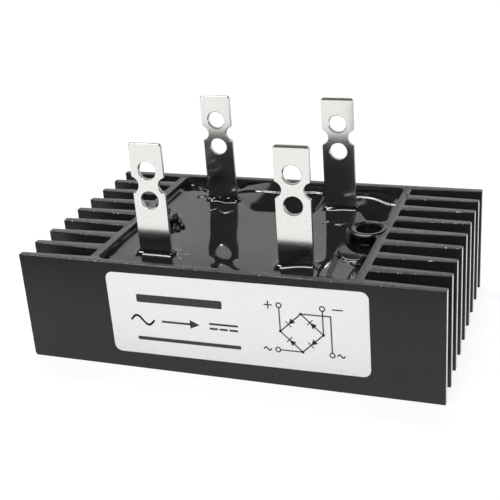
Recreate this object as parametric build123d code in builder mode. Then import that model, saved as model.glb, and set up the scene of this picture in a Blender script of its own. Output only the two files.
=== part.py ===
from build123d import *
import os

# A single-phase bridge rectifier: a finned heat sink with a potted well and four flat terminals.
# Millimetres, +Z up, the label faces -Y, and the origin is the middle of the heat sink's underside.

# Heat sink: a block with plates across its ends and a well in its middle. The plates' and fins'
# thicknesses are at their tips, and the slots between them narrow inwards by the draft on each side
block_length = 100.5
block_depth = 59.8
block_height = 27.0
end_plate_thickness = 1.9
fin_thickness = 1.8
fins_per_side = 7
slot_draft = 2.3
fin_tip_radius = 0.35
slot_end_radius = 0.5
well_length = 61.0
well_corner_radius = 2.0
side_wall_thickness = 2.0
floor_thickness = 8.0

# Mounting holes, in bosses that grow out of the well's side walls
mounting_hole_diameter = 6.2
boss_diameter = 9.0
boss_inset = 3.1
boss_blend_radius = 1.6

# Potting: resin poured to just below the rim, which climbs whatever it wets
potting_drop = 2.0
meniscus_rise = 1.0
meniscus_radius = 0.9
meniscus_film = 0.15

# Terminals: stamped strip, upright, with two screw holes and a waist between them
terminal_width = 8.1
terminal_thickness = 1.0
terminal_rise = 26.5
terminal_corner = 0.45
terminal_hole_diameter = 4.4
terminal_hole_spacing = 7.2
terminal_hole_drop = 6.5
neck_width = 5.0
notch_radius = 2.0
notch_corner_radius = 0.4
tail_width = 6.0
shoulder_depth = 5.0
foot_length = 5.0
bend_radius = 1.5

# Places of the terminals, which stand a little out of line: the rows from the middle of the block,
# each terminal's middle from the nearer side wall of the well, and how much lower the front ones end
front_row_offset = 19.4
row_spacing = 37.5
ac_left_inset = 11.3
ac_right_inset = 15.3
plus_inset = 14.1
minus_inset = 14.6
ac_left_drop = 1.0
ac_right_drop = 0.3

# Circuit on the floor of the well
ceramic_thickness = 1.0
ceramic_boss_clearance = 0.4
ceramic_wall_clearance = 4.6
pad_thickness = 1.0
pad_margin = 0.8
pad_gap = 3.0
die_size = 9.0
die_thickness = 0.5
die_clearance = 1.5
contact_size = 6.5
contact_thickness = 1.0
strap_thickness = 1.0
strap_width = 8.0
strap_gap = 2.0
strap_boss_clearance = 1.2
strap_margin = 0.5

# Label on the front plate
label_length = 61.7
label_height = 20.6
label_thickness = 0.1
label_corner_radius = 1.8
label_shift = 3.25
label_rise = 1.2
label_tilt = 0.55

# Worked out from the sizes above
slots_per_side = fins_per_side + 1
core_length = well_length + 2 * side_wall_thickness
fin_length = (block_length - core_length) / 2
well_depth = block_depth - 2 * end_plate_thickness
slot_mouth = (well_depth - fins_per_side * fin_thickness) / slots_per_side
slot_pitch = slot_mouth + fin_thickness
slot_angle = 90 - slot_draft
boss_x = well_length / 2 - boss_inset
boss_inner_x = boss_x - boss_diameter / 2

potting_level = block_height - potting_drop
terminal_top = block_height + terminal_rise
shoulder_z = potting_level - shoulder_depth
front_row_y = -front_row_offset
back_row_y = front_row_y + row_spacing
ac_left_x = ac_left_inset - well_length / 2
ac_right_x = well_length / 2 - ac_right_inset
plus_x = plus_inset - well_length / 2
minus_x = well_length / 2 - minus_inset

pad_z = floor_thickness + ceramic_thickness
die_z = pad_z + pad_thickness
contact_z = die_z + die_thickness
strap_z = contact_z + contact_thickness
strap_top = strap_z + strap_thickness

ceramic_length = 2 * (boss_inner_x - ceramic_boss_clearance)
ceramic_width = well_depth - 2 * ceramic_wall_clearance
pad_outer_x = ceramic_length / 2 - pad_margin
pad_length = pad_outer_x - pad_gap / 2
pad_x = pad_outer_x - pad_length / 2
front_die_y = front_row_y + foot_length + die_clearance + die_size / 2
back_die_y = back_row_y - foot_length - die_clearance - die_size / 2
pad_front_y = -(ceramic_width / 2 - pad_margin)
pad_back_y = back_die_y + die_size / 2 + pad_margin

strap_end_x = pad_x + contact_size / 2
arm_inner_x = strap_end_x + strap_gap
arm_outer_x = boss_inner_x - strap_boss_clearance
tab_width = tail_width + 2 * strap_margin
plus_tab_x = plus_x - tab_width / 2
minus_tab_x = minus_x - tab_width / 2
tab_back_y = back_row_y + terminal_thickness / 2 + strap_margin
tab_front_y = back_row_y - foot_length - strap_margin

os.makedirs("parts", exist_ok=True)
inner_parts = []


def save(piece, name):
    """Label a finished piece and write it to its own file."""
    piece.label = name
    export_step(piece, f"parts/{name}.step")


# Plan of the well: a rounded rectangle with a boss standing in from each side wall
with BuildSketch() as well_plan:
    RectangleRounded(well_length, well_depth, well_corner_radius)
    with GridLocations(2 * boss_x, 0, 2, 1):
        Circle(boss_diameter / 2, mode=Mode.SUBTRACT)
    boss_roots = well_plan.vertices().filter_by(lambda v: abs(v.Y) < boss_diameter / 2)
    fillet(boss_roots, boss_blend_radius)

# Heat sink: slots cut from both ends leave the front plate, the fins and the back plate
with BuildPart() as heat_sink:
    with BuildSketch() as block_plan:
        Rectangle(block_length, block_depth)
        for outward in (1, -1):
            with Locations((outward * (core_length + fin_length) / 2, 0)):
                with GridLocations(0, slot_pitch, 1, slots_per_side):
                    Trapezoid(slot_mouth, fin_length, slot_angle, rotation=90 * outward, mode=Mode.SUBTRACT)
        corners = block_plan.vertices().group_by(lambda v: round(abs(v.X), 3))
        fillet(corners[0], slot_end_radius)
        tips = block_plan.vertices().group_by(lambda v: round(abs(v.X), 3))[-1]
        fillet(tips, fin_tip_radius)
    extrude(amount=block_height)
    with BuildSketch(Plane.XY.offset(floor_thickness)):
        add(well_plan.sketch)
    extrude(amount=block_height - floor_thickness, mode=Mode.SUBTRACT)
    with GridLocations(2 * boss_x, 0, 2, 1):
        Hole(mounting_hole_diameter / 2)
save(heat_sink.part, "heat_sink")

# Label: a sticker with rounded corners, stuck on a little askew
with BuildPart() as label:
    with BuildSketch(Plane.XZ.offset(block_depth / 2)):
        with Locations((label_shift, block_height / 2 + label_rise)):
            RectangleRounded(label_length, label_height, label_corner_radius, rotation=label_tilt)
    extrude(amount=label_thickness)
save(label.part, "label")

# Ceramic plate: lies on the floor between the bosses and insulates the circuit
with BuildPart() as ceramic_plate:
    with BuildSketch(Plane.XY.offset(floor_thickness)):
        Rectangle(ceramic_length, ceramic_width)
    extrude(amount=ceramic_thickness)
save(ceramic_plate.part, "ceramic_plate")
inner_parts.append(ceramic_plate.part)

# AC pads: one sheet of copper for each AC terminal, under two dies and the terminal's foot
for side, sign in (("left", -1), ("right", 1)):
    with BuildPart() as pad:
        with BuildSketch(Plane.XY.offset(pad_z)):
            with Locations((sign * pad_x, (pad_front_y + pad_back_y) / 2)):
                Rectangle(pad_length, pad_back_y - pad_front_y)
        extrude(amount=pad_thickness)
    save(pad.part, f"pad_ac_{side}")
    inner_parts.append(pad.part)

# Dies with their contact plates: the back row feeds plus, the front row returns from minus
for side, sign in (("left", -1), ("right", 1)):
    for pole, die_y in (("plus", back_die_y), ("minus", front_die_y)):
        with BuildPart() as diode:
            with BuildSketch(Plane.XY.offset(die_z)):
                with Locations((sign * pad_x, die_y)):
                    Rectangle(die_size, die_size)
            extrude(amount=die_thickness)
        save(diode.part, f"diode_{side}_{pole}")
        inner_parts.append(diode.part)
        with BuildPart() as contact:
            with BuildSketch(Plane.XY.offset(contact_z)):
                with Locations((sign * pad_x, die_y)):
                    Rectangle(contact_size, contact_size)
            extrude(amount=contact_thickness)
        save(contact.part, f"contact_{side}_{pole}")
        inner_parts.append(contact.part)

# Plus strap: a bar over the back dies with a tab under the plus terminal's foot
with BuildPart() as strap_plus:
    with BuildSketch(Plane.XY.offset(strap_z)):
        with Locations(((plus_tab_x + strap_end_x) / 2, back_die_y)):
            Rectangle(strap_end_x - plus_tab_x, strap_width)
        with Locations((plus_x, (back_die_y + tab_back_y) / 2)):
            Rectangle(tab_width, tab_back_y - back_die_y)
    extrude(amount=strap_thickness)
save(strap_plus.part, "strap_plus")
inner_parts.append(strap_plus.part)

# Minus strap: a bar over the front dies, an arm along the right and a tab under the minus terminal's foot
with BuildPart() as strap_minus:
    with BuildSketch(Plane.XY.offset(strap_z)):
        bar_front_y = front_die_y - strap_width / 2
        with Locations(((arm_outer_x - strap_end_x) / 2, front_die_y)):
            Rectangle(arm_outer_x + strap_end_x, strap_width)
        with Locations(((arm_inner_x + arm_outer_x) / 2, (bar_front_y + tab_back_y) / 2)):
            Rectangle(arm_outer_x - arm_inner_x, tab_back_y - bar_front_y)
        with Locations(((minus_tab_x + arm_outer_x) / 2, (tab_front_y + tab_back_y) / 2)):
            Rectangle(arm_outer_x - minus_tab_x, tab_back_y - tab_front_y)
    extrude(amount=strap_thickness)
save(strap_minus.part, "strap_minus")
inner_parts.append(strap_minus.part)

# Terminals: strip bent to an L, then trimmed to its front outline, with the foot towards the middle
terminal_seats = {
    "terminal_ac_left": (ac_left_x, front_row_y, die_z, 1, terminal_top - ac_left_drop),
    "terminal_ac_right": (ac_right_x, front_row_y, die_z, 1, terminal_top - ac_right_drop),
    "terminal_plus": (plus_x, back_row_y, strap_top, -1, terminal_top),
    "terminal_minus": (minus_x, back_row_y, strap_top, -1, terminal_top),
}
for terminal_name, (x, y, foot_z, inward, top_z) in terminal_seats.items():
    upper_hole_z = top_z - terminal_hole_drop
    lower_hole_z = upper_hole_z - terminal_hole_spacing
    neck_z = (upper_hole_z + lower_hole_z) / 2
    with BuildPart() as terminal:
        middle_z = foot_z + terminal_thickness / 2
        with BuildSketch(Plane.YZ.offset(x)):
            with BuildLine():
                foot_tip = (y + inward * foot_length, middle_z)
                FilletPolyline(foot_tip, (y, middle_z), (y, top_z), radius=bend_radius)
            trace(line_width=terminal_thickness)
        extrude(amount=terminal_width / 2, both=True)
        with BuildSketch(Plane.XZ.offset(-y)) as outline:
            with Locations((x, (shoulder_z + top_z) / 2)):
                Rectangle(terminal_width, top_z - shoulder_z)
            chamfer(outline.vertices().group_by(Axis.Y)[-1], terminal_corner)
            with Locations((x, neck_z)):
                with GridLocations(neck_width + 2 * notch_radius, 0, 2, 1):
                    Circle(notch_radius, mode=Mode.SUBTRACT)
            notch_corners = outline.vertices().filter_by_position(
                Axis.Y, neck_z - notch_radius, neck_z + notch_radius
            )
            fillet(notch_corners, notch_corner_radius)
            with Locations((x, upper_hole_z), (x, lower_hole_z)):
                Circle(terminal_hole_diameter / 2, mode=Mode.SUBTRACT)
            with Locations((x, (foot_z + shoulder_z) / 2)):
                Rectangle(tail_width, shoulder_z - foot_z)
        extrude(amount=foot_length + terminal_thickness, both=True, mode=Mode.INTERSECT)
    save(terminal.part, terminal_name)
    inner_parts.append(terminal.part)

# Potting: fills the well round everything in it. Its top curves up to the walls and bosses,
# and slopes up to the terminals
with BuildPart() as potting:
    with BuildSketch(Plane.XY.offset(floor_thickness)):
        add(well_plan.sketch)
    extrude(amount=potting_level + meniscus_rise - floor_thickness)
    with BuildSketch(Plane.XY.offset(potting_level)):
        add(well_plan.sketch)
        offset(amount=-meniscus_film)
        for x, y, foot_z, inward, top_z in terminal_seats.values():
            with Locations((x, y)):
                sleeve_width = terminal_width + 2 * meniscus_film
                sleeve_thickness = terminal_thickness + 2 * meniscus_film
                Rectangle(sleeve_width, sleeve_thickness, mode=Mode.SUBTRACT)
    extrude(amount=meniscus_rise, mode=Mode.SUBTRACT)
    hollow = potting.faces().filter_by_position(Axis.Z, potting_level, potting_level)[0]
    fillet(hollow.outer_wire().edges(), meniscus_radius)
    hollow = potting.faces().filter_by_position(Axis.Z, potting_level, potting_level)[0]
    chamfer([edge for sleeve in hollow.inner_wires() for edge in sleeve.edges()], meniscus_radius)
    for inner_part in inner_parts:
        add(inner_part, mode=Mode.SUBTRACT)
save(potting.part, "potting")
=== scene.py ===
import math
import random

import bmesh
import bpy
import numpy as np
from mathutils import Matrix, Vector, noise


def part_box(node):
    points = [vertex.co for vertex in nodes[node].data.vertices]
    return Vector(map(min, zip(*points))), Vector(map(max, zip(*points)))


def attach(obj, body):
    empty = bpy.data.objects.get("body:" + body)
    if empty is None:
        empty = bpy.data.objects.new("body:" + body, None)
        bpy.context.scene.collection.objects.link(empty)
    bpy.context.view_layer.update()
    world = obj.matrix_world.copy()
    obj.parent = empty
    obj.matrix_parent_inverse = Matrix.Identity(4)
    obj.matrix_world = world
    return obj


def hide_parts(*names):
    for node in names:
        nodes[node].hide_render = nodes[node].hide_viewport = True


# Looks of a potted bridge rectifier. Lengths are written in millimetres and made metres with MM.
# The label faces -Y, +Z is up and the origin is the middle of the heat sink's underside.

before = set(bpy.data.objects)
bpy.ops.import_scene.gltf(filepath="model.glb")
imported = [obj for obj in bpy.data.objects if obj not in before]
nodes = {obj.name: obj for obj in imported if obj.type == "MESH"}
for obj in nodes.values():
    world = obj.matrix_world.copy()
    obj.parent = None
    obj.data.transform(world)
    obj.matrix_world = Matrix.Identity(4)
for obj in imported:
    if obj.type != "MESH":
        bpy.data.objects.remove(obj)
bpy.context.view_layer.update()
collection = bpy.context.scene.collection
MM = 0.001

# Sizes that the solids have, in millimetres
BLOCK_LENGTH, BLOCK_DEPTH, BLOCK_HEIGHT = 100.5, 59.8, 27.0
FRONT_Y = -BLOCK_DEPTH / 2
TIP_X = BLOCK_LENGTH / 2
FIN_PITCH, FIN_TIP_HALF, SLOT_DRAFT = 7.225, 0.9, math.radians(2.3)
SIDE_X = 32.5
WELL_HALF_X, WELL_HALF_Y, WELL_CORNER = 30.5, 28.0, 2.0
WELL_FLOOR = 8.0
BOSS_X, BOSS_RADIUS, BOSS_BLEND = 27.4, 4.5, 1.6
LEVEL = 25.0
TERMINAL_WIDTH, TERMINAL_THICKNESS = 8.1, 1.0
HOLE_DROP, HOLE_SPACING, HOLE_REACH = 6.5, 7.2, 2.6
TERMINALS = {
    "terminal_ac_left": (-19.2, -19.4),
    "terminal_ac_right": (15.2, -19.4),
    "terminal_plus": (-16.4, 18.1),
    "terminal_minus": (15.9, 18.1),
}
# Terminals with a chamfered top, and how far each top leans to the front, in degrees
CHAMFERED = ("terminal_ac_right", "terminal_minus")
LEANS = {"terminal_plus": 1.1, "terminal_minus": 0.95, "terminal_ac_left": 0.0, "terminal_ac_right": -0.8}
LABEL_SIZE = (61.7, 20.6)
LABEL_CENTRE = (3.25, 14.7)
LABEL_CORNER, LABEL_TILT = 1.8, math.radians(0.55)

# Widths of rounded and chamfered edges, in millimetres, and the angle from which an edge counts as sharp
SINK_ROUND, TIP_ROUND = 0.1, 0.22
STRIP_ROUND, TOP_CHAMFER, RIM_CHAMFER = 0.22, 0.44, 0.18
SHARP = math.radians(40)


# Materials


def new_material(name, **sockets):
    """A material with a Principled shader, whose even values are set on the shader's own sockets."""
    made = bpy.data.materials.new(name)
    made.use_nodes = True
    for socket, value in sockets.items():
        title = socket.replace("_", " ").title().replace("Ior", "IOR")
        shader_of(made).inputs[title].default_value = value
    return made


def shader_of(made):
    """The material's Principled shader."""
    return made.node_tree.nodes["Principled BSDF"]


def add_node(made, kind, **values):
    """A node of this kind, with its properties and its input values set."""
    node = made.node_tree.nodes.new(kind)
    for name, value in values.items():
        if hasattr(node, name):
            setattr(node, name, value)
        else:
            node.inputs[name.replace("_", " ").title()].default_value = value
    return node


def link(made, output, target):
    """Join an output socket to an input socket."""
    made.node_tree.links.new(output, target)


def grain(made, stretch, detail=3.0, rough=0.55):
    """A noise in object space, with stretch in cycles for each millimetre along X, Y and Z."""
    place = add_node(made, "ShaderNodeTexCoord")
    scaled = add_node(made, "ShaderNodeMapping")
    scaled.inputs["Scale"].default_value = [s / MM for s in stretch]
    spots = add_node(made, "ShaderNodeTexNoise", detail=detail, roughness=rough, scale=1.0)
    link(made, place.outputs["Object"], scaled.inputs["Vector"])
    link(made, scaled.outputs["Vector"], spots.inputs["Vector"])
    return spots.outputs["Fac"]


def ramp(made, value, stops):
    """Colours or grey values by place along a ramp, from 0 to 1."""
    node = add_node(made, "ShaderNodeValToRGB")
    elements = node.color_ramp.elements
    while len(elements) < len(stops):
        elements.new(0.5)
    for element, (position, colour) in zip(elements, stops):
        element.position = position
        grey = (colour,) * 3 if isinstance(colour, (int, float)) else colour
        element.color = (*grey, 1)
    link(made, value, node.inputs["Fac"])
    return node.outputs["Color"]


def bumps(made, *layers):
    """Stack bumps, each given as a height, its strength and its depth in millimetres."""
    last = None
    for height, strength, depth in layers:
        node = add_node(made, "ShaderNodeBump", strength=strength, distance=depth * MM)
        link(made, height, node.inputs["Height"])
        if last is not None:
            link(made, last, node.inputs["Normal"])
        last = node.outputs["Normal"]
    link(made, last, shader_of(made).inputs["Normal"])


def paint(made, socket, value, *stops):
    """Drive one socket of the shader by a ramp over a value."""
    link(made, ramp(made, value, stops), shader_of(made).inputs[socket])


black_finish = new_material("black_finish", specular_ior_level=0.38)
fine = grain(black_finish, (2.2, 2.2, 2.2), detail=4)
drawn = grain(black_finish, (3.0, 3.0, 0.04))
cloud = grain(black_finish, (0.12, 0.12, 0.12), detail=2)
paint(black_finish, "Base Color", fine, (0.3, (0.0065, 0.0067, 0.007)), (0.7, (0.014, 0.0138, 0.0135)))
paint(black_finish, "Roughness", cloud, (0.3, 0.3), (0.7, 0.38))
bumps(black_finish, (drawn, 0.12, 0.02), (fine, 0.15, 0.02))

sawn_finish = new_material("sawn_finish", specular_ior_level=0.6)
saw_marks = grain(sawn_finish, (1.4, 0.1, 0.1), detail=5, rough=0.7)
flecks = grain(sawn_finish, (1.4, 1.4, 1.4), detail=5, rough=0.7)
paint(sawn_finish, "Base Color", saw_marks, (0.3, (0.008, 0.008, 0.008)), (0.7, (0.06, 0.059, 0.057)))
paint(sawn_finish, "Roughness", flecks, (0.3, 0.25), (0.7, 0.5))
bumps(sawn_finish, (saw_marks, 0.5, 0.06), (flecks, 0.3, 0.03))

worn_tip = new_material("worn_tip", metallic=0.85)
rub = grain(worn_tip, (1.2, 1.2, 0.15), detail=5, rough=0.65)
paint(worn_tip, "Base Color", rub, (0.3, (0.55, 0.55, 0.545)), (0.55, (0.86, 0.855, 0.845)))
paint(worn_tip, "Roughness", rub, (0.3, 0.5), (0.7, 0.3))

resin = new_material("resin", ior=1.52)
haze = grain(resin, (0.5, 0.5, 0.5), detail=4)
paint(resin, "Base Color", haze, (0.3, (0.002, 0.002, 0.0022)), (0.7, (0.005, 0.005, 0.005)))
paint(resin, "Roughness", haze, (0.35, 0.02), (0.75, 0.06))

scuffed_resin = new_material("scuffed_resin", ior=1.52, roughness=0.35)
scuff = grain(scuffed_resin, (1.5, 1.5, 1.5), detail=4)
paint(scuffed_resin, "Base Color", scuff, (0.3, (0.09, 0.09, 0.09)), (0.7, (0.26, 0.26, 0.255)))

nickel = new_material("nickel", metallic=1.0)
plate_grain = grain(nickel, (1.8, 1.8, 1.8), detail=5, rough=0.65)
rolled = grain(nickel, (2.5, 2.5, 0.05))
paint(nickel, "Base Color", plate_grain, (0.3, (0.74, 0.725, 0.70)), (0.7, (0.84, 0.825, 0.80)))
paint(nickel, "Roughness", plate_grain, (0.3, 0.12), (0.75, 0.18))
bumps(nickel, (rolled, 0.05, 0.01), (plate_grain, 0.08, 0.01))

cut_edge = new_material("cut_edge", metallic=1.0)
shear_marks = grain(cut_edge, (1.5, 3.0, 0.6), detail=5, rough=0.65)
paint(cut_edge, "Base Color", shear_marks, (0.3, (0.36, 0.355, 0.345)), (0.7, (0.62, 0.61, 0.595)))
paint(cut_edge, "Roughness", shear_marks, (0.3, 0.25), (0.7, 0.4))

paper = new_material("paper", roughness=0.42, specular_ior_level=0.4)
fibre = grain(paper, (1.1, 1.1, 1.1), detail=5)
paint(paper, "Base Color", fibre, (0.3, (0.83, 0.83, 0.83)), (0.7, (0.87, 0.868, 0.866)))
bumps(paper, (fibre, 0.06, 0.01))

ink = new_material("ink", roughness=0.5)
ink_wear = grain(ink, (2.0, 2.0, 2.0), detail=4)
paint(ink, "Base Color", ink_wear, (0.3, (0.012, 0.012, 0.012)), (0.75, (0.03, 0.03, 0.03)))

bare_metal = new_material("bare_metal", metallic=1.0, roughness=0.4)
scratch = grain(bare_metal, (4.0, 4.0, 4.0), detail=4)
paint(bare_metal, "Base Color", scratch, (0.3, (0.3, 0.3, 0.298)), (0.7, (0.75, 0.745, 0.735)))

copper = new_material("copper", metallic=1.0, roughness=0.3)
tarnish = grain(copper, (0.6, 0.6, 0.6), detail=4)
paint(copper, "Base Color", tarnish, (0.3, (0.72, 0.36, 0.22)), (0.7, (0.85, 0.48, 0.32)))

alumina = new_material("alumina", roughness=0.5)
speck = grain(alumina, (1.5, 1.5, 1.5), detail=4)
paint(alumina, "Base Color", speck, (0.3, (0.84, 0.83, 0.80)), (0.7, (0.91, 0.90, 0.87)))

silicon = new_material("silicon", roughness=0.2)
sheen = grain(silicon, (0.8, 0.8, 0.8))
paint(silicon, "Base Color", sheen, (0.3, (0.18, 0.18, 0.21)), (0.7, (0.25, 0.25, 0.29)))


# Meshes


def new_object(name, mesh):
    """An object of this name for the mesh."""
    made = bpy.data.objects.new(name, mesh)
    collection.objects.link(made)
    return made


def mesh_of(name, verts, faces):
    """A mesh from points in millimetres."""
    mesh = bpy.data.meshes.new(name)
    mesh.from_pydata([[c * MM for c in v] for v in verts], [], faces)
    return mesh


def ride(piece, replaced=None):
    """Let a finished piece ride on the one body, for the CAD node that it replaces."""
    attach(piece, "root")
    if replaced is not None:
        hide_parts(replaced)


def mesh_piece(name, verts, faces, material, slot, smooth_angle=None, replaced=None):
    """A new piece from points in millimetres, its faces outward and smooth below the angle in degrees."""
    mesh = mesh_of(name, verts, faces)
    sheet = bmesh.new()
    sheet.from_mesh(mesh)
    bmesh.ops.recalc_face_normals(sheet, faces=sheet.faces)
    sheet.to_mesh(mesh)
    sheet.free()
    mesh.materials.append(material)
    if smooth_angle is not None:
        mesh.shade_smooth()
        mesh.set_sharp_from_angle(angle=math.radians(smooth_angle))
    piece = new_object(name, mesh)
    ride(piece, replaced)
    return piece


def welded_copy(node, name):
    """A new object with the CAD node's mesh, its split points joined and its flat faces whole."""
    mesh = nodes[node].data.copy()
    mesh.name = name
    mesh.materials.clear()
    if "custom_normal" in mesh.attributes:
        mesh.attributes.remove(mesh.attributes["custom_normal"])
    sheet = bmesh.new()
    sheet.from_mesh(mesh)
    bmesh.ops.remove_doubles(sheet, verts=sheet.verts, dist=0.002 * MM)
    for edge in sheet.edges:
        edge.smooth = True
    flat = math.radians(0.5)
    bmesh.ops.dissolve_limit(sheet, angle_limit=flat, verts=sheet.verts, edges=sheet.edges)
    sheet.to_mesh(mesh)
    sheet.free()
    mesh.shade_smooth()
    return new_object(name, mesh)


def bake_modifiers(piece):
    """Replace a piece's mesh with the one that its modifiers make."""
    graph = bpy.context.evaluated_depsgraph_get()
    made = bpy.data.meshes.new_from_object(piece.evaluated_get(graph))
    piece.modifiers.clear()
    old = piece.data
    piece.data = made
    bpy.data.meshes.remove(old)


def break_edges(piece, width, segments, chosen=None):
    """Round a piece's sharp edges, or those of them that a test of their middle picks."""
    sheet = bmesh.new()
    sheet.from_mesh(piece.data)
    layers = sheet.edges.layers.float
    weight = layers.get("bevel_weight_edge") or layers.new("bevel_weight_edge")
    for edge in sheet.edges:
        sharp = edge.calc_face_angle(0.0) > SHARP
        middle = (edge.verts[0].co + edge.verts[1].co) / (2 * MM)
        edge[weight] = 1.0 if sharp and (chosen is None or chosen(middle)) else 0.0
    sheet.to_mesh(piece.data)
    sheet.free()
    broken = piece.modifiers.new("edges", "BEVEL")
    broken.width = width * MM
    broken.segments = segments
    broken.limit_method = "WEIGHT"
    broken.loop_slide = False
    broken.harden_normals = segments > 1
    bake_modifiers(piece)


def spindles(places):
    """Points and faces of eight-sided spindles, each given as its middle, half sizes and turn about Z."""
    verts, faces = [], []
    for centre, half, turn in places:
        base = len(verts)
        c, s = math.cos(turn), math.sin(turn)
        for dx, dy, dz in ((-1, 0, 0), (0, -1, 0), (1, 0, 0), (0, 1, 0), (0, 0, -1), (0, 0, 1)):
            x, y, z = dx * half[0], dy * half[1], dz * half[2]
            verts.append((centre[0] + c * x - s * y, centre[1] + s * x + c * y, centre[2] + z))
        for a, b in ((0, 1), (1, 2), (2, 3), (3, 0)):
            faces.append((base + a, base + b, base + 5))
            faces.append((base + b, base + a, base + 4))
    return verts, faces


def fin_half(along):
    """Half of a fin's thickness at this distance from the middle, from root to tip."""
    return FIN_TIP_HALF + (TIP_X - along) * math.tan(SLOT_DRAFT)


# Heat sink: the CAD form, with a ragged left edge, broken edges and the marks of the saw


def at_tip(at):
    """Whether a point is on an upright edge of the fins' right tips."""
    return at.x > TIP_X - 0.05 and 1 < at.z < BLOCK_HEIGHT - 1


dice = random.Random(7)
sink = welded_copy("heat_sink", "heat_sink_body")
break_edges(sink, TIP_ROUND, 3, at_tip)
break_edges(sink, SINK_ROUND, 2)

# Nicks along the front plate's left edge, at its foot and in one fin's corner
NICK_Y = FRONT_Y + 0.3
nicks = []
z = 1.0
while z < BLOCK_HEIGHT - 2:
    half = dice.uniform(0.25, 0.6)
    nicks.append(((-TIP_X, NICK_Y, z + half), (dice.uniform(0.12, 0.42), 2.6, half), 0.0))
    z += 2 * half + dice.uniform(0.1, 0.7)
nicks.append(((-TIP_X, NICK_Y, 0.0), (0.7, 3.6, 0.9), 0.0))
nicks.append(((-TIP_X + 0.3, 3 * FIN_PITCH - 0.9, BLOCK_HEIGHT), (1.0, 1.3, 0.9), 0.5))
cutter = new_object("cutter", mesh_of("cutter", *spindles(nicks)))
trim = sink.modifiers.new("nicks", "BOOLEAN")
trim.object = cutter
trim.operation = "DIFFERENCE"
trim.solver = "EXACT"
bake_modifiers(sink)
bpy.data.objects.remove(cutter)

# Sawn faces above and below, worn faces at the fins' tips
for finish in (black_finish, sawn_finish, worn_tip):
    sink.data.materials.append(finish)
for face in sink.data.polygons:
    centre = face.center / MM
    sawn = abs(face.normal.z) > 0.98 and not 0.1 < centre.z < BLOCK_HEIGHT - 0.1
    tip = abs(face.normal.x) > 0.9 and abs(centre.x) > TIP_X - 0.3
    face.material_index = 1 if sawn else 2 if tip else 0
ride(sink, "heat_sink")

# Burrs that the saw left along the top edges, some bare and some black
BURR_Z = BLOCK_HEIGHT - 0.03
burrs = []
x = -TIP_X + 0.8
while x < TIP_X - 0.5:
    size = dice.uniform(0.08, 0.22)
    place = (x, FRONT_Y + dice.uniform(0.05, 0.5), BURR_Z)
    burrs.append((place, (size * dice.uniform(1.0, 2.4), 0.09, size), dice.uniform(-0.5, 0.5)))
    x += dice.uniform(0.4, 1.6 if x < 0 else 2.6)
for fin in range(-3, 4):
    for side in (-1, 1):
        along = SIDE_X + 0.3
        while along < TIP_X - 0.3:
            half = fin_half(along)
            place = (side * along, fin * FIN_PITCH - half + dice.uniform(-0.05, 0.2), BURR_Z)
            sizes = (dice.uniform(0.12, 0.4), dice.uniform(0.08, 0.16), dice.uniform(0.06, 0.14))
            burrs.append((place, sizes, dice.uniform(-0.4, 0.4)))
            along += dice.uniform(0.5, 2.2)
ragged = mesh_piece("saw_burrs", *spindles(burrs), bare_metal, "heat_sink")
ragged.data.materials.append(black_finish)
for number in range(len(burrs)):
    black = dice.random() < 0.65
    for face in ragged.data.polygons[8 * number:8 * number + 8]:
        face.material_index = 1 if black else 0


# Potting: a poured surface that climbs what it wets


def arc(cx, cy, radius, start, end, steps):
    """Points along an arc, by angles in degrees."""
    angles = np.radians(np.linspace(start, end, steps))
    return np.stack([cx + radius * np.cos(angles), cy + radius * np.sin(angles)], 1)


def well_outline():
    """The well's plan as a closed run of points, anticlockwise."""
    corner_x, corner_y = WELL_HALF_X - WELL_CORNER, WELL_HALF_Y - WELL_CORNER
    blend_x = WELL_HALF_X - BOSS_BLEND
    blend_y = math.sqrt((BOSS_RADIUS + BOSS_BLEND) ** 2 - (blend_x - BOSS_X) ** 2)
    turn = math.degrees(math.atan2(blend_y, BOSS_X - blend_x))
    right = np.concatenate([
        arc(corner_x, -corner_y, WELL_CORNER, -90, 0, 7),
        arc(blend_x, -blend_y, BOSS_BLEND, 0, turn, 8),
        arc(BOSS_X, 0, BOSS_RADIUS, 180 + turn, 180 - turn, 28),
        arc(blend_x, blend_y, BOSS_BLEND, -turn, 0, 8),
        arc(corner_x, corner_y, WELL_CORNER, 0, 90, 7),
    ])
    return np.concatenate([right, -right])


def to_run(points, run):
    """Each point's distance to a run of straight strokes, and its nearest point there."""
    nearest = np.zeros_like(points)
    best = np.full(len(points), 1e9)
    for p, q in zip(run[:-1], run[1:]):
        stroke = q - p
        t = np.clip(((points - p) @ stroke) / max(stroke @ stroke, 1e-12), 0, 1)
        foot = p + t[:, None] * stroke
        gap = np.hypot(*(points - foot).T)
        closer = gap < best
        best[closer] = gap[closer]
        nearest[closer] = foot[closer]
    return best, nearest


def inside(points, run):
    """Whether each point is inside a closed run."""
    crossings = np.zeros(len(points), int)
    for p, q in zip(run[:-1], run[1:]):
        if p[1] != q[1]:
            spans = (points[:, 1] < p[1]) != (points[:, 1] < q[1])
            cut_x = p[0] + (points[:, 1] - p[1]) * (q[0] - p[0]) / (q[1] - p[1])
            crossings += spans & (points[:, 0] < cut_x)
    return crossings % 2 == 1


def soft_step(value, low, high):
    """A smooth rise from 0 to 1 between two values."""
    t = np.clip((value - low) / (high - low), 0, 1)
    return t * t * (3 - 2 * t)


def lump(x, y, cx, cy, width, depth, turn=0.0, power=2.0):
    """A swelling of height 1, flatter on top and steeper at its edge for a higher power."""
    c, s = math.cos(turn), math.sin(turn)
    u = (c * (x - cx) + s * (y - cy)) / width
    v = (-s * (x - cx) + c * (y - cy)) / depth
    return np.exp(-np.hypot(u, v) ** power)


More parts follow.
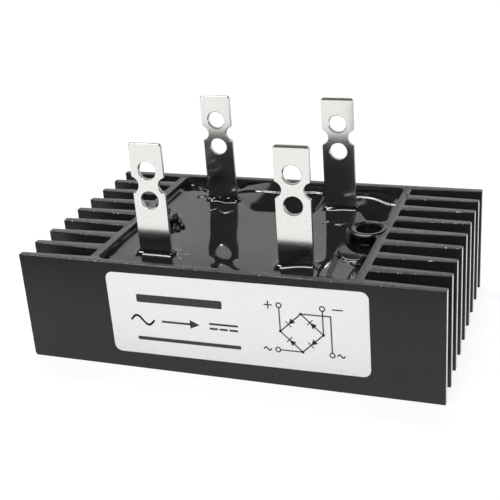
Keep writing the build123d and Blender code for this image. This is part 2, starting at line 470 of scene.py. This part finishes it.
# The resin's shape, in millimetres
POOL_X, POOL_Y, POOL_HALF_X, POOL_HALF_Y = 26.2, -8.8, 4.6, 5.1
POOL_LEVEL, POOL_RIM = 24.8, 0.12
WALL_CLIMB, TERMINAL_CLIMB = 0.85, 0.9
BACK_TILT = 0.1
SWELL_RISE, SWELL_HALF = 0.32, 0.42
GRID_STEP = 0.22
# Swellings of the resin: height, middle, half width, half depth, turn, power
LUMPS = [
    (0.45, -14.2, 17.6, 2.4, 1.8, 0.0, 4),
    (0.3, -18.9, 16.5, 0.9, 0.6, 0.5, 2),
    (0.35, -17.0, 16.8, 1.0, 0.6, -0.3, 2),
    (0.3, -14.8, 16.3, 1.0, 0.6, 0.4, 2),
    (0.2, 13.9, 16.6, 1.7, 0.7, 0.15, 2),
    (0.55, 25.6, -26.2, 2.4, 1.6, 0.0, 3),
    (0.5, 29.2, -20.5, 0.9, 4.6, 0.1, 3),
    (0.45, -22.9, 18.6, 1.1, 0.8, 0.3, 4),
]
# Fine raised lines: height, half width, points
RIDGES = [
    (0.17, 0.34, [(-16.9, 9.5), (-16.0, 11.0), (-14.3, 9.5), (-12.5, 8.6), (-11.3, 10.0)]),
    (0.17, 0.34, [(14.2, 7.7), (15.2, 8.9), (17.0, 7.3), (18.3, 6.9), (19.3, 8.2)]),
]
# Pale scratches beside the front left terminal
SCRATCHES = [
    [(-14.28, -18.93), (-14.24, -16.11)],
    [(-13.84, -19.89), (-13.9, -18.92), (-11.07, -18.74)],
    [(-13.68, -19.86), (-12.01, -21.65)],
]
SCRATCH_HALF = 0.12


def potting_height(points, wall_gap):
    """Height of the resin over the plan, in millimetres."""
    x, y = points.T
    # It falls to the right and to the back, and rises again to the front right corner
    height = LEVEL + 0.45 - 0.55 * soft_step(x, -18, 8) - 0.58 * soft_step(y, -24, 6)
    height -= soft_step(x, 20.5, 28.5)
    height += 0.0028 * np.maximum(-8 - y, 0) ** 2 * soft_step(x, 12, 18)
    # A shallow pool in front of the right boss, with its own level
    pool = np.clip((1 - np.hypot((x - POOL_X) / POOL_HALF_X, (y - POOL_Y) / POOL_HALF_Y)) / POOL_RIM, 0, 1)
    pool_level = POOL_LEVEL + 0.02 * np.maximum(27 - x, 0) ** 2
    height += (pool_level - height) * pool * (2 - pool)
    # It climbs the side walls and the terminals
    height += WALL_CLIMB * np.exp(-wall_gap / 0.7) * (1 - soft_step(np.abs(y), 20, 26))
    for cx, cy in TERMINALS.values():
        gap_x = np.maximum(np.abs(x - cx) - TERMINAL_WIDTH / 2, 0) * 2.0
        gap_y = np.maximum(np.abs(y - cy) - TERMINAL_THICKNESS / 2, 0)
        height += TERMINAL_CLIMB * np.exp(-np.hypot(gap_x, gap_y) / (1.0 if cy < 0 else 0.7))
    # Behind a winding edge it tilts up to the back
    edge = 28.5 - 6.5 * soft_step(x, -21, -16) - 10.2 * soft_step(x, -16, -5)
    edge += 7.4 * soft_step(x, 9.3, 10.8) - 2.2 * soft_step(x, 12, 16) - 5.2 * soft_step(x, 20, 25)
    edge += 0.25 * np.sin(x * 0.45 + 1.0)
    above = y - edge
    height += BACK_TILT * 0.5 * (above + np.sqrt(above * above + 0.05)) + 0.12 * soft_step(above, 0, 4)
    # A swell runs along the back wall, with a gap behind the left terminal
    crest = 22.6 + 1.2 * soft_step(x, 0, 8) - 2.0 * soft_step(x, 19, 29) + 3.8 * soft_step(-x, 22.5, 28.5)
    crest += 0.25 * np.sin(x * 0.35)
    swell = 1 - soft_step(x, -21.5, -19.5) + soft_step(x, -15, -12)
    height += SWELL_RISE * swell * soft_step(y, crest - SWELL_HALF, crest + SWELL_HALF)
    for rise, *form in LUMPS:
        height += rise * lump(x, y, *form)
    for rise, width, run in RIDGES:
        gap, _ = to_run(points, np.array(run))
        height += rise * np.exp(-(gap / width) ** 2)
    # A faint unevenness all over
    height += 0.012 * np.sin(x * 0.41 + 0.7 * np.sin(y * 0.3)) + 0.012 * np.sin(y * 0.47 + 0.3 * x)
    return np.minimum(height, BLOCK_HEIGHT - 0.05)


def poured_resin():
    """The potting as one closed mesh on a fine grid that ends on the well's outline."""
    count_x = int(2 * WELL_HALF_X / GRID_STEP) + 2
    count_y = int(2 * WELL_HALF_Y / GRID_STEP) + 2
    xs = (np.arange(count_x) - (count_x - 1) / 2) * GRID_STEP
    ys = (np.arange(count_y) - (count_y - 1) / 2) * GRID_STEP
    grid_x, grid_y = np.meshgrid(xs, ys)
    points = np.stack([grid_x.ravel(), grid_y.ravel()], 1)
    outline = well_outline()
    outline = np.concatenate([outline, outline[:1]])
    index = np.arange(count_x * count_y).reshape(count_y, count_x)
    corners = [index[:-1, :-1], index[:-1, 1:], index[1:, 1:], index[1:, :-1]]
    cells = np.stack(corners, -1).reshape(-1, 4)
    kept = cells[inside(points[cells].mean(1), outline)]
    sides = np.concatenate([kept[:, [0, 1]], kept[:, [1, 2]], kept[:, [2, 3]], kept[:, [3, 0]]])
    sides = np.sort(sides, 1)
    pairs, uses = np.unique(sides, axis=0, return_counts=True)
    rim = np.unique(pairs[uses == 1])
    gap, nearest = to_run(points, outline)
    points[rim] = nearest[rim]
    gap[rim] = 0
    height = potting_height(points, gap)
    used, faces = np.unique(kept, return_inverse=True)
    verts = np.column_stack([points, height])[used]
    mesh = mesh_of("potting_resin", verts.tolist(), faces.reshape(-1, 4).tolist())
    sheet = bmesh.new()
    sheet.from_mesh(mesh)
    bmesh.ops.remove_doubles(sheet, verts=sheet.verts, dist=0.001 * MM)
    border = [edge for edge in sheet.edges if edge.is_boundary]
    for corner in bmesh.ops.extrude_edge_only(sheet, edges=border)["geom"]:
        if isinstance(corner, bmesh.types.BMVert):
            corner.co.z = WELL_FLOOR * MM
    border = [edge for edge in sheet.edges if edge.is_boundary]
    bmesh.ops.holes_fill(sheet, edges=border, sides=0)
    bmesh.ops.recalc_face_normals(sheet, faces=sheet.faces)
    sheet.to_mesh(mesh)
    sheet.free()
    mesh.materials.append(resin)
    mesh.materials.append(scuffed_resin)
    middles = np.array([face.center[:] for face in mesh.polygons]) / MM
    scratched = np.zeros(len(middles), bool)
    for run in SCRATCHES:
        gap, _ = to_run(middles[:, :2], np.array(run))
        scratched |= (gap < SCRATCH_HALF) & (middles[:, 2] > LEVEL - 1)
    for face in np.nonzero(scratched)[0].tolist():
        mesh.polygons[face].material_index = 1
    mesh.shade_smooth()
    mesh.set_sharp_from_angle(angle=math.radians(50))
    ride(new_object("potting_resin", mesh), "potting")


poured_resin()


def drops(name, places, rings=12, steps=20):
    """Smooth drops of resin in one piece, each given as its middle and its three half sizes."""
    verts, faces = [], []
    for (cx, cy, cz), (rx, ry, rz) in places:
        base = len(verts)
        verts.append((cx, cy, cz - rz))
        for i in range(1, rings):
            lift = math.pi * (i / rings - 0.5)
            z = cz + rz * math.sin(lift)
            for j in range(steps):
                turn = 2 * math.pi * j / steps
                x = cx + rx * math.cos(lift) * math.cos(turn)
                y = cy + ry * math.cos(lift) * math.sin(turn)
                verts.append((x, y, z))
        last = len(verts)
        verts.append((cx, cy, cz + rz))
        for j in range(steps):
            k = (j + 1) % steps
            faces.append((base, base + 1 + k, base + 1 + j))
            for i in range(rings - 2):
                row = base + 1 + i * steps
                faces.append((row + j, row + k, row + steps + k, row + steps + j))
            faces.append((last - steps + j, last - steps + k, last))
    mesh_piece(name, verts, faces, resin, "potting", smooth_angle=60)


# Beads of resin that ran together beside the left boss
BEADS = [
    ((-22.9, 1.9, 25.1), (0.8, 0.75, 0.8)),
    ((-21.9, 0.9, 25.1), (0.6, 0.65, 0.7)),
    ((-21.3, -0.4, 25.05), (0.75, 0.6, 0.8)),
    ((-20.3, -1.4, 25.0), (0.5, 0.55, 0.6)),
    ((-19.8, -2.6, 25.1), (0.85, 0.6, 0.75)),
    ((-20.6, -3.6, 25.0), (0.6, 0.5, 0.6)),
    ((-19.9, -4.9, 25.0), (0.65, 0.75, 0.7)),
    ((-21.3, -4.2, 25.0), (0.6, 0.8, 0.6)),
    ((-22.2, -1.9, 25.0), (0.5, 0.6, 0.5)),
]
drops("resin_beads", BEADS)


# Film of resin over each boss, by radius and height: up its wall, over its top and into the hole's mouth
FILM_PROFILE = [
    (4.75, 24.2), (4.85, 25.6), (4.92, 26.6), (4.86, 26.95), (4.66, 27.16), (4.3, 27.26), (3.7, 27.24),
    (3.34, 27.1), (3.14, 26.85), (3.10, 26.4), (3.11, 25.2), (3.12, 25.2), (3.4, 26.98), (3.5, 26.98),
    (3.6, 24.2),
]
FILM_SWAY = 0.05
# The film leans to the front and the middle, from this radius on and fully after this span
FILM_LEAN, LEAN_FROM, LEAN_SPAN = 0.4, 3.4, 1.3


def boss_film(name, centre, lean, steps=72):
    """The film around one boss's middle, a little uneven, its outside moved by its lean."""
    verts, faces = [], []
    count = len(FILM_PROFILE)
    for i in range(steps):
        c, s = math.cos(2 * math.pi * i / steps), math.sin(2 * math.pi * i / steps)
        for r, h in FILM_PROFILE:
            off = FILM_SWAY * noise.noise(Vector((3 * c, 3 * s, r * 2 + h)))
            shift = min(max((r - LEAN_FROM) / LEAN_SPAN, 0), 1)
            x = centre[0] + (r + off) * c + shift * lean[0]
            y = centre[1] + (r + off) * s + shift * lean[1]
            verts.append((x, y, h + off))
    for i in range(steps):
        j = (i + 1) % steps
        for k in range(count):
            m = (k + 1) % count
            faces.append((i * count + k, j * count + k, j * count + m, i * count + m))
    mesh_piece(name, verts, faces, resin, "potting", smooth_angle=60)


for side, sign in (("left", -1), ("right", 1)):
    boss_film(f"boss_film_{side}", (sign * BOSS_X, 0), (-FILM_LEAN * sign, -FILM_LEAN))


# Label: a sticker with rounded corners, and its print as thin shapes


def on_label(u, v, lift):
    """A point on the sticker from its middle, u to the right and v up, lift in front of the plate."""
    c, s = math.cos(LABEL_TILT), math.sin(LABEL_TILT)
    return (LABEL_CENTRE[0] + c * u - s * v, FRONT_Y - lift, LABEL_CENTRE[1] + s * u + c * v)


def rounded_box(width, height, radius, centre=(0, 0), steps=8):
    """Outline of a rectangle with rounded corners."""
    w, h = width / 2 - radius, height / 2 - radius
    corners = ((1, -1, -90), (1, 1, 0), (-1, 1, 90), (-1, -1, 180))
    return np.concatenate([arc(centre[0] + sx * w, centre[1] + sy * h, radius, start, start + 90, steps)
                           for sx, sy, start in corners])


def stack_faces(count, rings):
    """Faces of a closed stack of outlines, the front one first."""
    faces = [tuple(range(count)), tuple(reversed(range((rings - 1) * count, rings * count)))]
    for r in range(rings - 1):
        for i in range(count):
            j = (i + 1) % count
            faces.append((r * count + i, (r + 1) * count + i, (r + 1) * count + j, r * count + j))
    return faces


# Lifts of the paper's and the ink's layers off the plate
PAPER_FACE, PAPER_RIM = 0.085, 0.06
INK_FACE, INK_FOOT = 0.099, 0.08
# A diode's symbol: its tip beyond the middle, its triangle, its bar and the bar's share of the line's width
DIODE_REACH, DIODE_LENGTH, DIODE_HALF = 0.65, 1.5, 0.72
BAR_HALF, BAR_SHARE = 0.8, 0.8
# The sticker's face is a little smaller than its foot, so that its rim is broken
RIM = 0.05
outer = rounded_box(*LABEL_SIZE, LABEL_CORNER)
inner = rounded_box(LABEL_SIZE[0] - 2 * RIM, LABEL_SIZE[1] - 2 * RIM, LABEL_CORNER - RIM)
levels = ((inner, PAPER_FACE), (outer, PAPER_RIM), (outer, 0.0))
sticker = [on_label(u, v, lift) for ring, lift in levels for u, v in ring]
mesh_piece("label_sticker", sticker, stack_faces(len(outer), len(levels)), paper, "label", replaced="label")


class Print:
    """Flat shapes printed on the sticker, gathered into one mesh."""

    def __init__(self):
        self.verts = []
        self.faces = []

    def shape(self, outline):
        """A filled outline of convex form."""
        base = len(self.verts)
        for lift in (INK_FACE, INK_FOOT):
            self.verts += [on_label(u, v, lift) for u, v in outline]
        self.faces += [tuple(base + i for i in face) for face in stack_faces(len(outline), 2)]

    def run(self, points, width):
        """Joined straight strokes."""
        points = np.array(points, float)
        for a, b in zip(points[:-1], points[1:]):
            along = (b - a) / np.hypot(*(b - a)) * width / 2
            side = np.array((-along[1], along[0]))
            self.shape([a - along - side, b + along - side, b + along + side, a - along + side])

    def ring(self, centre, radius, width, steps=24):
        """A circle's line."""
        outer = arc(*centre, radius + width / 2, 0, 360, steps + 1)
        inner = arc(*centre, radius - width / 2, 0, 360, steps + 1)
        for i in range(steps):
            self.shape([outer[i], outer[i + 1], inner[i + 1], inner[i]])

    def dot(self, centre, radius):
        """A filled circle."""
        self.shape(arc(*centre, radius, 0, 345, 24))

    def wave(self, centre, width, height, line):
        """One period of a sine wave."""
        turn = np.linspace(0, 2 * math.pi, 17)
        u = centre[0] + (turn / math.pi - 1) * width / 2
        v = centre[1] + np.sin(turn) * height / 2
        self.run(np.stack([u, v], 1), line)

    def diode(self, a, b, line):
        """A stroke from a to b with a diode's triangle and bar in its middle."""
        a, b = np.array(a, float), np.array(b, float)
        self.run([a, b], line)
        along = (b - a) / np.hypot(*(b - a))
        side = np.array((-along[1], along[0]))
        tip = (a + b) / 2 + along * DIODE_REACH
        back = tip - along * DIODE_LENGTH
        self.shape([back - side * DIODE_HALF, tip, back + side * DIODE_HALF])
        self.run([tip - side * BAR_HALF, tip + side * BAR_HALF], line * BAR_SHARE)

    def piece(self, name):
        """The finished print."""
        mesh_piece(name, self.verts, self.faces, ink, "label")


# The bridge as a circuit: plus and minus above, the two AC ends below
LINE, BOLD = 0.3, 0.5
DOT_RADIUS, END_RADIUS, END_GAP = 0.34, 0.56, 0.6
diagram = Print()
left, top, right, bottom = (10.8, -0.9), (15.7, 3.8), (20.6, -0.9), (15.7, -5.6)
plus_end, minus_end, ac_left_end, ac_right_end = (10.8, 5.5), (20.6, 5.5), (10.0, -5.6), (22.4, -5.7)
for a, b in ((top, left), (bottom, left), (right, top), (right, bottom)):
    diagram.diode(a, b, LINE)
for node in (left, top, right, bottom):
    diagram.dot(node, DOT_RADIUS)
for end in (plus_end, minus_end, ac_left_end, ac_right_end):
    diagram.ring(end, END_RADIUS, LINE)
diagram.run([left, (plus_end[0], plus_end[1] - END_GAP)], LINE)
diagram.run([right, (minus_end[0], minus_end[1] - END_GAP)], LINE)
diagram.run([bottom, (ac_left_end[0] + END_GAP, bottom[1])], LINE)
diagram.run([top, (ac_right_end[0], top[1]), (ac_right_end[0], ac_right_end[1] + END_GAP)], LINE)
# Signs beside the ends
diagram.run([(7.5, 5.4), (9.1, 5.4)], LINE)
diagram.run([(8.3, 4.6), (8.3, 6.2)], LINE)
diagram.run([(22.9, 5.5), (25.0, 5.5)], LINE)
diagram.wave((7.6, -5.6), 1.6, 0.7, LINE)
diagram.wave((24.4, -5.7), 1.6, 0.7, LINE)
diagram.piece("label_diagram")

# Plain fields: a heading bar, signs for AC turned into DC, and a closing line
fields = Print()
fields.shape(rounded_box(21.0, 2.0, 0.4, (-13.1, 4.2)))
fields.wave((-22.6, -1.4), 5.6, 2.2, BOLD)
fields.run([(-17.6, -1.4), (-10.6, -1.4)], BOLD)
fields.shape([(-10.8, -2.5), (-8.4, -1.4), (-10.8, -0.3)])
fields.run([(-5.8, -0.8), (0.6, -0.8)], BOLD)
for start in (-5.8, -3.4, -1.0):
    fields.run([(start, -2.0), (start + 1.5, -2.0)], BOLD)
fields.shape(rounded_box(25.6, 0.9, 0.3, (-11.6, -6.2)))
fields.piece("label_fields")


# Terminals: the CAD form with the chamfers and rounded edges of stamped strip, each leaning a little


def stamped_strip(name, x, y):
    """One terminal, bright in front and behind and duller on its cut sides."""
    strip = welded_copy(name, f"{name}_strip")
    top_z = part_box(name)[1][2] / MM
    upper_rim = Vector((x, top_z - HOLE_DROP))
    lower_rim = upper_rim - Vector((0, HOLE_SPACING))

    def top_front(at):
        """Whether a point is on the top edge of the strip's front."""
        return at.z > top_z - 0.1 and at.y < y

    def at_hole(at):
        """Whether a point is on a hole's rim."""
        return min((at.xz - upper_rim).length, (at.xz - lower_rim).length) < HOLE_REACH

    def front_rim(at):
        """Whether a point is on a hole's rim in the strip's front."""
        return at_hole(at) and at.y < y

    def off_holes(at):
        """Whether a point is away from the holes."""
        return not at_hole(at)

    if name in CHAMFERED:
        break_edges(strip, TOP_CHAMFER, 1, top_front)
    break_edges(strip, RIM_CHAMFER, 1, front_rim)
    if name not in CHAMFERED:
        break_edges(strip, STRIP_ROUND, 3, off_holes)
    strip.data.set_sharp_from_angle(angle=SHARP)
    even = strip.modifiers.new("flat_faces", "WEIGHTED_NORMAL")
    even.weight = 100
    even.keep_sharp = True
    bake_modifiers(strip)
    slope = math.tan(math.radians(LEANS[name]))
    for corner in strip.data.vertices:
        corner.co.y -= slope * (corner.co.z - LEVEL * MM)
    strip.data.materials.append(nickel)
    strip.data.materials.append(cut_edge)
    for face in strip.data.polygons:
        face.material_index = 1 if abs(face.normal.y) < 0.6 else 0
    ride(strip, name)


for name, (x, y) in TERMINALS.items():
    stamped_strip(name, x, y)

# Finishes of the CAD nodes
FINISHES = {"terminal": nickel, "pad": copper, "contact": copper, "strap": copper, "ceramic": alumina,
            "diode": silicon, "heat": black_finish, "potting": resin, "label": paper}
for name, node in nodes.items():
    node.data.materials.clear()
    node.data.materials.append(FINISHES[name.split("_")[0]])


# Floor, light and camera

FLOOR_HALF = 4.0
floor_corners = [(-FLOOR_HALF, -FLOOR_HALF, 0), (FLOOR_HALF, -FLOOR_HALF, 0),
                 (FLOOR_HALF, FLOOR_HALF, 0), (-FLOOR_HALF, FLOOR_HALF, 0)]
floor_mesh = bpy.data.meshes.new("floor")
floor_mesh.from_pydata(floor_corners, [], [(0, 1, 2, 3)])
floor = new_object("floor", floor_mesh)
floor.location.z = -0.02 * MM


def seen_directly(made):
    """1 for rays that show a surface to the camera, straight on, mirrored or through glass."""
    path = add_node(made, "ShaderNodeLightPath")
    total = path.outputs["Is Camera Ray"]
    for kind in ("Is Glossy Ray", "Is Transmission Ray"):
        either = add_node(made, "ShaderNodeMath", operation="MAXIMUM")
        link(made, total, either.inputs[0])
        link(made, path.outputs[kind], either.inputs[1])
        total = either.outputs[0]
    return total


floor_white = bpy.data.materials.new("floor_white")
floor_white.use_nodes = True
floor_white.node_tree.nodes.remove(shader_of(floor_white))
matt = add_node(floor_white, "ShaderNodeBsdfDiffuse")
matt.inputs["Color"].default_value = (0.9, 0.9, 0.9, 1)
faint = add_node(floor_white, "ShaderNodeBsdfDiffuse")
faint.inputs["Color"].default_value = (0.16, 0.16, 0.16, 1)
glow = add_node(floor_white, "ShaderNodeEmission", strength=0.87)
seen = add_node(floor_white, "ShaderNodeAddShader")
choose = add_node(floor_white, "ShaderNodeMixShader")
link(floor_white, faint.outputs[0], seen.inputs[0])
link(floor_white, glow.outputs[0], seen.inputs[1])
link(floor_white, seen_directly(floor_white), choose.inputs["Fac"])
link(floor_white, matt.outputs[0], choose.inputs[1])
link(floor_white, seen.outputs[0], choose.inputs[2])
link(floor_white, choose.outputs[0], floor_white.node_tree.nodes["Material Output"].inputs["Surface"])
floor_mesh.materials.append(floor_white)

# A white backdrop behind the part, up to a height, in a dim room
DIM = 0.1
BACKDROP_TOP = math.sin(math.radians(30))
world = bpy.data.worlds.new("studio")
world.use_nodes = True
bpy.context.scene.world = world
way = add_node(world, "ShaderNodeTexCoord")
split = add_node(world, "ShaderNodeSeparateXYZ")
behind = add_node(world, "ShaderNodeMapRange", interpolation_type="SMOOTHSTEP", from_min=-0.1, from_max=0.3)
below = add_node(world, "ShaderNodeMapRange", interpolation_type="SMOOTHSTEP",
                 from_min=BACKDROP_TOP + 0.02, from_max=BACKDROP_TOP - 0.02)
both = add_node(world, "ShaderNodeMath", operation="MULTIPLY")
level = add_node(world, "ShaderNodeMapRange", to_min=DIM, to_max=0.95)
eye = add_node(world, "ShaderNodeLightPath")
strength = add_node(world, "ShaderNodeMath", operation="MAXIMUM")
link(world, way.outputs["Generated"], split.inputs[0])
link(world, split.outputs["Y"], behind.inputs["Value"])
link(world, split.outputs["Z"], below.inputs["Value"])
link(world, behind.outputs[0], both.inputs[0])
link(world, below.outputs[0], both.inputs[1])
link(world, both.outputs[0], level.inputs["Value"])
link(world, level.outputs[0], strength.inputs[0])
link(world, eye.outputs["Is Camera Ray"], strength.inputs[1])
sky = world.node_tree.nodes["Background"]
sky.inputs["Color"].default_value = (1, 1, 1, 1)
link(world, strength.outputs[0], sky.inputs["Strength"])


def softbox(name, size, energy, place, target=(0, 0, 0.02)):
    """An area lamp that looks at a target, both places in metres."""
    data = bpy.data.lights.new(name, "AREA")
    data.shape = "RECTANGLE"
    data.size, data.size_y = size
    data.energy = energy
    lamp = new_object(name, data)
    lamp.location = place
    lamp.rotation_euler = (Vector(target) - lamp.location).to_track_quat("-Z", "Y").to_euler()


softbox("overhead", (0.5, 0.09), 4.2, (-0.16, 0.215, 0.72), (-0.16, 0, 0.02))
softbox("front", (0.9, 0.16), 7.1, (-0.1, -0.64, 0.80), (-0.1, 0, 0.02))

# The camera's place in millimetres, its turn in degrees and its picture in pixels
CAMERA_PLACE = Vector((76.7, -209.6, 117.5)) * MM
AZIMUTH, ELEVATION, ROLL = (math.radians(a) for a in (20.98, 22.64, -3.96))
FOCAL, MIDDLE, PICTURE = 979.765, (246.352, 231.464), 500
camera_data = bpy.data.cameras.new("camera")
camera_data.sensor_width = 36.0
camera_data.lens = camera_data.sensor_width * FOCAL / PICTURE
camera_data.shift_x = (PICTURE / 2 - MIDDLE[0]) / PICTURE
camera_data.shift_y = (MIDDLE[1] - PICTURE / 2) / PICTURE
camera_data.clip_start = 0.01
camera_data.clip_end = 20
camera = new_object("camera", camera_data)
forward = Vector((
    -math.sin(AZIMUTH) * math.cos(ELEVATION),
    math.cos(AZIMUTH) * math.cos(ELEVATION),
    -math.sin(ELEVATION),
))
level_right = forward.cross(Vector((0, 0, 1))).normalized()
level_up = level_right.cross(forward)
tilt = math.asin(math.sin(ROLL) / math.cos(ELEVATION))
right_axis = math.cos(tilt) * level_right + math.sin(tilt) * level_up
up_axis = right_axis.cross(forward)
turned = Matrix((right_axis, up_axis, -forward)).transposed().to_4x4()
camera.matrix_world = Matrix.Translation(CAMERA_PLACE) @ turned
bpy.context.scene.camera = camera

bpy.context.scene.view_settings.view_transform = "Standard"

bpy.context.view_layer.update()
